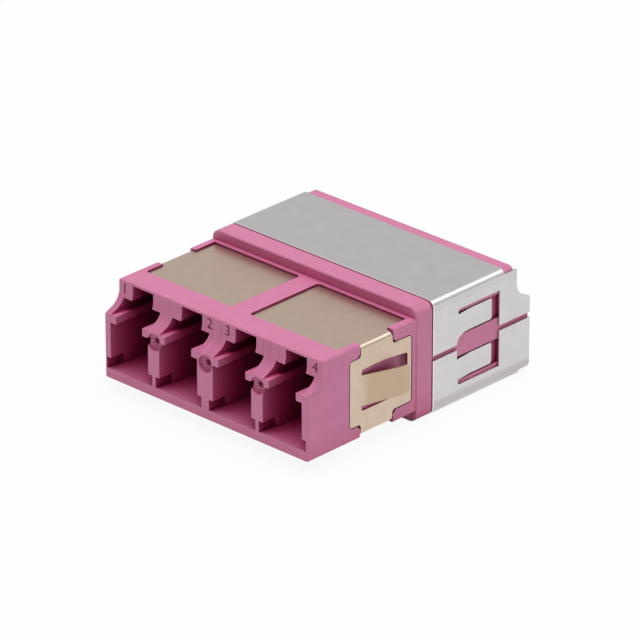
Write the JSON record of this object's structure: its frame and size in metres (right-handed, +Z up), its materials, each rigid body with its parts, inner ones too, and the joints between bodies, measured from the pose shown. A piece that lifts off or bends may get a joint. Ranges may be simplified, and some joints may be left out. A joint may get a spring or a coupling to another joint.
{
  "type": "fibre optic coupler",
  "caption": "Snap-in fibre optic coupler with plug ports at both ends, a panel collar, bronze spring clips and steel shells round the rear body.",
  "frame": {"origin": "on the underside, below the middle of the optical plane where the plugs meet", "axes": "+X across the ports, +Y from the front mouths to the rear mouths, +Z up from the floor of the ports to their latches"},
  "size_m": [0.0278, 0.0296, 0.0114],
  "materials": {
    "housing_plastic": "satin moulded, fine spark texture",
    "clip_bronze": "cold rolled spring bronze, satin",
    "shell_steel": "cold rolled, satin",
    "holder_plastic": "satin moulded",
    "sleeve_ceramic": "ground and polished"
  },
  "bodies": {
    "root": {"front_housing": "housing_plastic", "rear_housing": "housing_plastic", "panel_clip_left": "clip_bronze", "panel_clip_right": "clip_bronze", "shell_top": "shell_steel", "shell_bottom": "shell_steel", "sleeve_holder_front_left": "holder_plastic", "sleeve_holder_front_right": "holder_plastic", "sleeve_holder_rear_left": "holder_plastic", "sleeve_holder_rear_right": "holder_plastic", "alignment_sleeve_1": "sleeve_ceramic", "alignment_sleeve_2": "sleeve_ceramic", "alignment_sleeve_3": "sleeve_ceramic", "alignment_sleeve_4": "sleeve_ceramic"}
  },
  "joints": []
}
